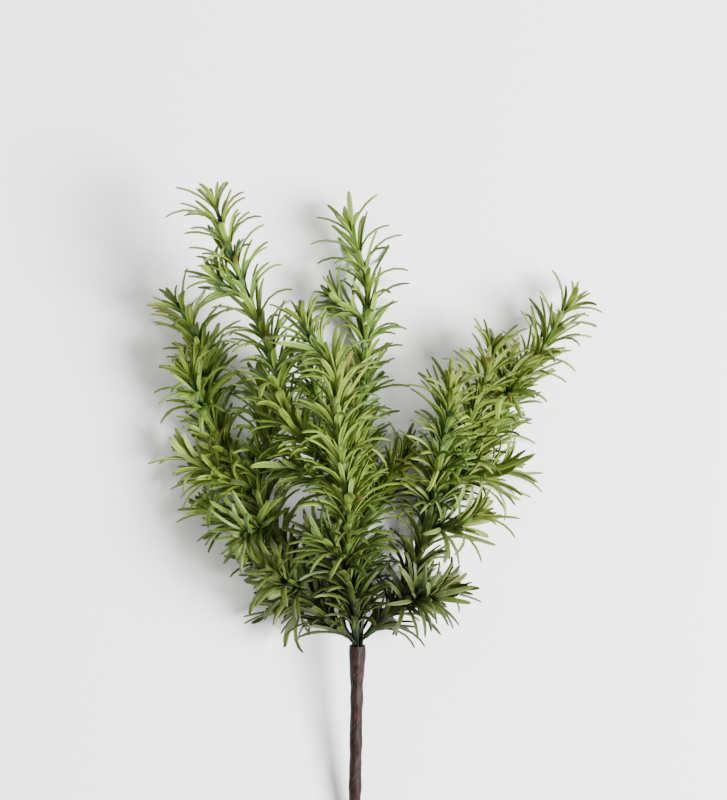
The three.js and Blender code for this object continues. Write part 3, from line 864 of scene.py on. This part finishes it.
def put_needle(foliage, there, radius, angle, length, start_angle, opening, vary, youth):
    """One needle, cut short where it would pass the part's box.

    vary gives a number from -0.5 to 0.5 for each of its keys.
    """
    sway = SWAY_SPREAD * vary(SWAY)
    line, across = needle_line(there, radius, angle, length, start_angle, opening, sway)
    while not inside_box(line):
        length *= SHORTENING
        line, across = needle_line(there, radius, angle, length, start_angle, opening, sway)
    lay_needle(foliage, line, across, vary, youth)


def lay_needle(foliage, line, across, vary, youth):
    """A needle along a given line. Its leaf attribute holds along, across, tone and youth."""
    width = NEEDLE_WIDTH * (LEAST_WIDTH + WIDTH_SPREAD * (vary(WIDTH) + 0.5) ** WIDTH_SKEW)
    places = bend_needle(line, across, width, math.radians(ROLL_SPREAD * vary(ROLL)))
    vertices, faces = needle_shape
    leaf = np.empty((len(vertices), 4))
    leaf[:, 0] = vertices[:, 2]
    leaf[:, 1] = np.abs(vertices[:, 0]) / np.interp(vertices[:, 2], *np.array(NEEDLE_RINGS)[:, :2].T)
    leaf[:, 2] = vary(TONE) + 0.5
    leaf[:, 3] = youth
    foliage.put(places, faces, leaf)


def put_cup(cups, curve, distance, radius, tone, youth):
    """A flared cup round a stem, bent along it, with its mouth just past the distance."""
    vertices, faces = cup_shape
    length = CUP_LENGTH * lerp(1, YOUNG_CUP, youth)
    places = np.empty_like(vertices)
    for i, (x, y, z) in enumerate(vertices):
        centre, _, side, rise = curve.frame(distance + (z - CUP_SEAT) * length)
        places[i] = centre + (rise * x + side * y) * radius * CORE_SHARE
    leaf = np.empty((len(vertices), 4))
    leaf[:] = (0, 0.5, tone, youth)
    leaf[:, 0] = vertices[:, 2]
    cups.put(places, faces, leaf)


def put_whorl(foliage, curve, distance, radius, keys, youth, whole=True):
    """Five long needles if it is a whole one, and the others between them."""
    there = curve.frame(distance)
    whorl = keys[2]
    airy = smoothstep(there[0][1], CROWDED_BELOW, AIRY_ABOVE)
    for side in range(WHORL_SIDES):
        def vary(key, row=0):
            return draw(*keys, SIDE_KEYS * side + key + ROW_KEYS * row) - 0.5

        angle = (side + 1 + whorl / 2) / WHORL_SIDES * 2 * math.pi
        size = lerp(NEEDLE_LENGTH, YOUNG_NEEDLE_LENGTH, youth) * (1 + LENGTH_SPREAD * vary(LENGTH))
        opening = lerp(OPEN_ANGLE, YOUNG_ANGLE, youth)
        opening += lerp(OPEN_SPREAD, YOUNG_SPREAD, youth) * vary(OPENING)
        if whole:
            put_needle(foliage, there, radius, angle, size, START_ANGLE, opening, vary, youth * LONG_YOUTH)
        for number, row in enumerate(BETWEEN_ROWS, 1):
            def vary_between(key, number=number):
                return vary(key, number)

            chance = lerp(row["low"], row["high"], airy) * (1 - youth / 2)
            if vary_between(CHANCE) + 0.5 > chance:
                continue
            inward = row["inward"]
            between = angle + (math.pi + 2 * vary_between(TURN)) / WHORL_SIDES
            length = size * (row["share"] + row["spread"] * vary_between(LENGTH))
            bend = max(LEAST_OPEN, opening + row["wider"] + row["uneven"] * vary_between(OPENING))
            put_needle(foliage, there, radius * inward, between, length, START_ANGLE * inward, bend,
                       vary_between, youth * BETWEEN_YOUTH)


def put_tip(foliage, curve, keys):
    """Short upright needles that close the end of a stem."""
    there = curve.frame(curve.length - TIP_SEAT)
    for side in range(TIP_NEEDLES):
        def vary(key):
            return draw(*keys, SIDE_KEYS * side + key + TIP_KEYS) - 0.5

        angle = (side + vary(TURN)) / TIP_NEEDLES * 2 * math.pi
        length = TIP_LENGTH * (1 + TIP_SPREAD * vary(LENGTH))
        opening = TIP_OPEN * (1 + vary(OPENING))
        put_needle(foliage, there, TIP_RADIUS * TIP_RING, angle, length, TIP_START, opening, vary, 1)


def put_crown(foliage, curve, end):
    """One upright needle past the end of a stem, with its back to the front."""
    start = curve.frame(curve.length - CROWN_ROOT)[0]
    line = np.linspace(start, end, NEEDLE_PIECES + 1)
    across = unit(np.cross(UP, line[-1] - line[0]))
    lay_needle(foliage, line, -across, lambda key: CROWN_WIDTH if key == WIDTH else 0, 0)


def model_branch(number, branch, needle_plastic):
    """A branch's stems, and the cups and needles of every whorl along them."""
    node = branch["node"]
    name = node.replace("branch_", "") + "_branch"
    foliage, cups = Foliage(), Foliage()
    cores, nubs = [], []
    for stem, (curve, bare, radius_at) in enumerate(stems_of(branch)):
        distances = stations(0, curve.length, STEM_STEP)
        spots = [curve.frame(distance)[0] for distance in distances]
        cores.append(tube(spots, [radius_at(distance) * CORE_SHARE for distance in distances], STEM_DETAIL))
        distance, whorl = bare, 0
        lowest = bare - WHORL_PITCH
        if stem == 0 and lowest > TAIL_DEPTH + LOWEST_WHORL:
            put_cup(cups, curve, lowest, radius_at(lowest), tone=0.5, youth=0)
            put_whorl(foliage, curve, lowest, radius_at(lowest), (number, stem, -1), 0, whole=False)
        while distance < curve.length - NUB_REACH:
            youth = 1 - smoothstep(curve.length - distance, 0, YOUNG_REACH)
            keys = (number, stem, whorl)
            put_cup(cups, curve, distance, radius_at(distance), draw(*keys, CUP_KEY), youth)
            put_whorl(foliage, curve, distance, radius_at(distance), keys, youth)
            whorl += 1
            distance += WHORL_PITCH * (1 + PITCH_SPREAD * (draw(number, stem, whorl, PITCH_KEY) - 0.5))
        if stem == 0 and branch["crown"]:
            put_crown(foliage, curve, branch["crown"])
        if stem == 0 and branch["nub"]:
            ends = [curve.frame(curve.length + past)[0] for past, _ in NUB_RINGS]
            nubs.append(tube(ends, [TIP_RADIUS * share for _, share in NUB_RINGS], STEM_DETAIL))
        else:
            put_tip(foliage, curve, (number, stem, whorl))
    finish_piece(foliage.make(NEEDLE_SMOOTH), name + "_needles", needle_plastic, "moulded_green", node)
    finish_piece(cups.make(CUP_SMOOTH), name + "_cups", cup_plastic, "moulded_green", node)
    finish_piece(joined(cores), name + "_stems", core_plastic, "moulded_green", node)
    if nubs:
        finish_piece(joined(nubs), name + "_nub", nub_plastic, "moulded_green", node)


# The stage

def add_floor():
    bpy.ops.object.select_all(action="DESELECT")
    bpy.ops.mesh.primitive_plane_add(size=FLOOR_SIZE)
    floor = bpy.context.object
    floor.name = "floor"
    material, _, shader = new_material("pale_floor", FLOOR_SHEEN)
    shader.inputs["Base Color"].default_value = rgb(FLOOR_WHITE)
    shader.inputs["Roughness"].default_value = FLOOR_ROUGHNESS
    floor.data.materials.append(material)


def add_light(name, place, size, power):
    data = bpy.data.lights.new(name, "AREA")
    data.shape = "DISK"
    data.size = size
    data.energy = power
    light = bpy.data.objects.new(name, data)
    bpy.context.collection.objects.link(light)
    light.location = place
    aim = np.array(LIGHT_AIM) - np.array(place)
    light.rotation_euler = Vector(aim).to_track_quat("-Z", "Y").to_euler()


def add_world():
    world = bpy.data.worlds.new("studio")
    bpy.context.scene.world = world
    world.use_nodes = True
    background = world.node_tree.nodes["Background"]
    background.inputs["Color"].default_value = (1, 1, 1, 1)
    background.inputs["Strength"].default_value = STUDIO_GLOW


def add_camera():
    data = bpy.data.cameras.new("camera")
    data.sensor_width = SENSOR
    data.lens = SENSOR * VIEW_DISTANCE / VIEW_HEIGHT
    data.clip_end = CLIP_END
    camera = bpy.data.objects.new("camera", data)
    bpy.context.collection.objects.link(camera)
    camera.location = placed([*VIEW_MIDDLE, VIEW_LEVEL + VIEW_DISTANCE])
    bpy.context.scene.camera = camera


add_camera()
add_world()
add_floor()
for light in LIGHTS:
    add_light(*light)

green_and_painted_shade_group = make_green_and_painted_shade_group()
core_plastic = stem_material("stem_core_plastic", *map(rgb, CORE_GREENS))
cup_plastic = stem_material("stem_cup_plastic", *map(rgb, CUP_GREENS))
nub_plastic = nub_material()
needle_plastics = {}
for node, greens in NEEDLE_GREENS.items():
    needle_plastics[node] = needle_material(node.replace("branch_", "needles_"), *map(rgb, greens))

turns = [i / CUP_SIDES * 2 * math.pi for i in range(CUP_SIDES)]
round_section = [(math.cos(turn), math.sin(turn)) for turn in turns]
cup_shape = extruded(round_section, [(z, width, width) for z, width in CUP_PROFILE], close_tip=False)
needle_shape = extruded(NEEDLE_SECTION, NEEDLE_RINGS, close_tip=True)
needle_levels = np.unique(needle_shape[0][:, 2])

model_wrap(tape_material())
model_wire(wire_material())
for number, branch in enumerate(BRANCHES):
    model_branch(number, branch, needle_plastics[branch["node"]])
